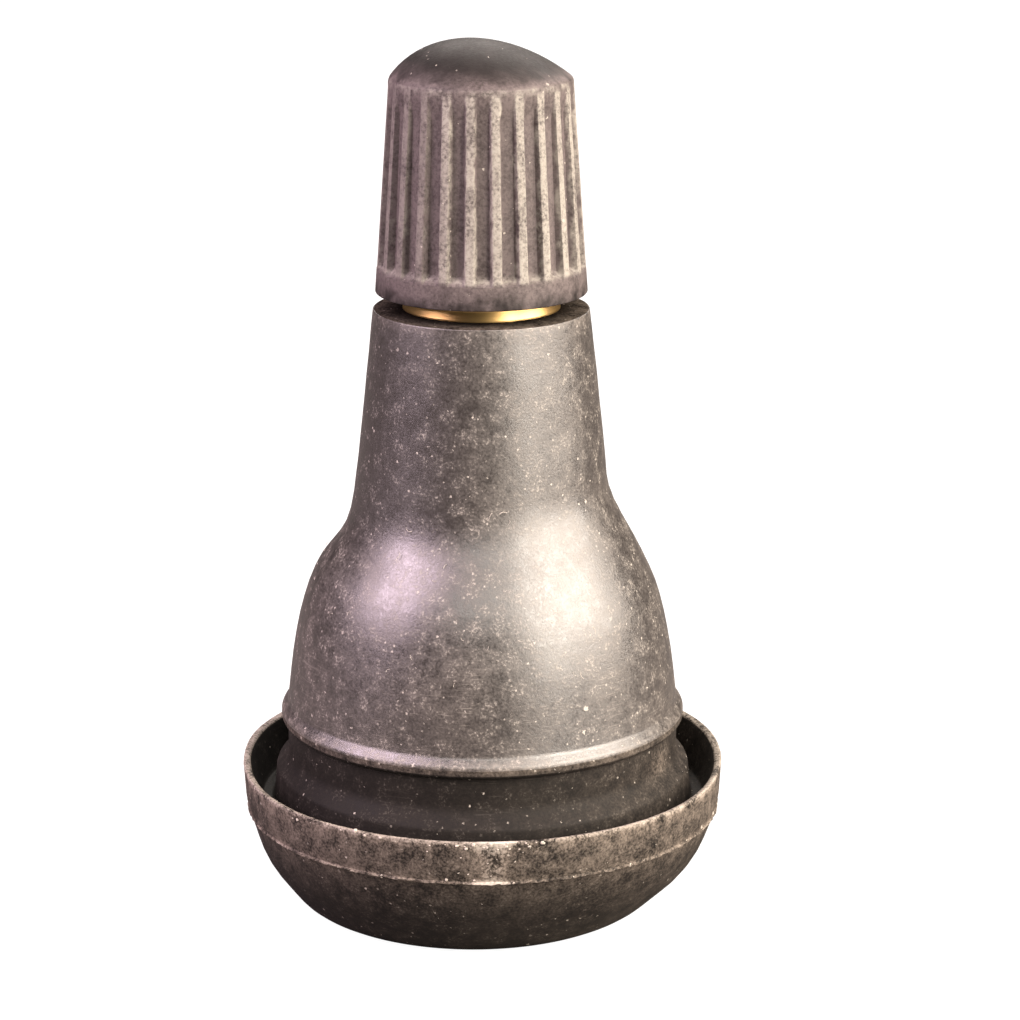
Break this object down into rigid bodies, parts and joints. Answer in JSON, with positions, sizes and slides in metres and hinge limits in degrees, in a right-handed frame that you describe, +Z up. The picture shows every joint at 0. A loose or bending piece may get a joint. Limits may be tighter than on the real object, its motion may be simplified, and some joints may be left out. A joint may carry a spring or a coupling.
{
  "type": "tyre valve",
  "caption": "Bell-shaped rubber snap-in tyre valve with a brass stem, a spring-loaded core and a ribbed, domed plastic screw cap.",
  "frame": {"origin": "centre of the flat foot under the flange", "axes": "+Z up along the valve's axis, from the foot to the cap; -Y towards the picture's camera"},
  "size_m": [0.0232, 0.0232, 0.0417],
  "materials": {
    "moulded_rubber": "moulded, dusty, softly glossy",
    "turned_brass": "turned, bright",
    "cap_plastic": "moulded, ribbed, dusty",
    "seal_rubber": "smooth, matt",
    "seal_ptfe": "smooth, waxy",
    "spring_steel": "drawn wire"
  },
  "bodies": {
    "valve": {"rubber_body": "moulded_rubber", "stem": "turned_brass", "core_plug": "turned_brass", "core_barrel": "turned_brass", "barrel_gasket": "seal_ptfe", "core_spring": "spring_steel"},
    "plunger": {"core_pin": "turned_brass", "plunger_cup": "turned_brass", "cup_gasket": "seal_rubber"},
    "cap_seal": {"cap_washer": "seal_rubber"},
    "cap": {"cap": "cap_plastic"}
  },
  "joints": [
    {"name": "cap_lift", "type": "slide", "parent": "valve", "child": "cap_seal", "axis": [0, 0, 1], "range_m": [0, 0.008]},
    {"name": "cap_turn", "type": "hinge", "parent": "cap_seal", "child": "cap", "pos_m": [0, 0, 0.03], "axis": [0, 0, 1], "range_deg": [0, 3630]},
    {"name": "pin_press", "type": "slide", "parent": "valve", "child": "plunger", "axis": [0, 0, -1], "range_m": [0, 0.0012], "stiffness_N_per_m": 1500, "springref_m": -0.002, "deforming": ["core_spring"]}
  ],
  "couplings": [
    {"joint": "cap_turn", "follows": "cap_lift", "rad_per_m": 7915.8}
  ]
}
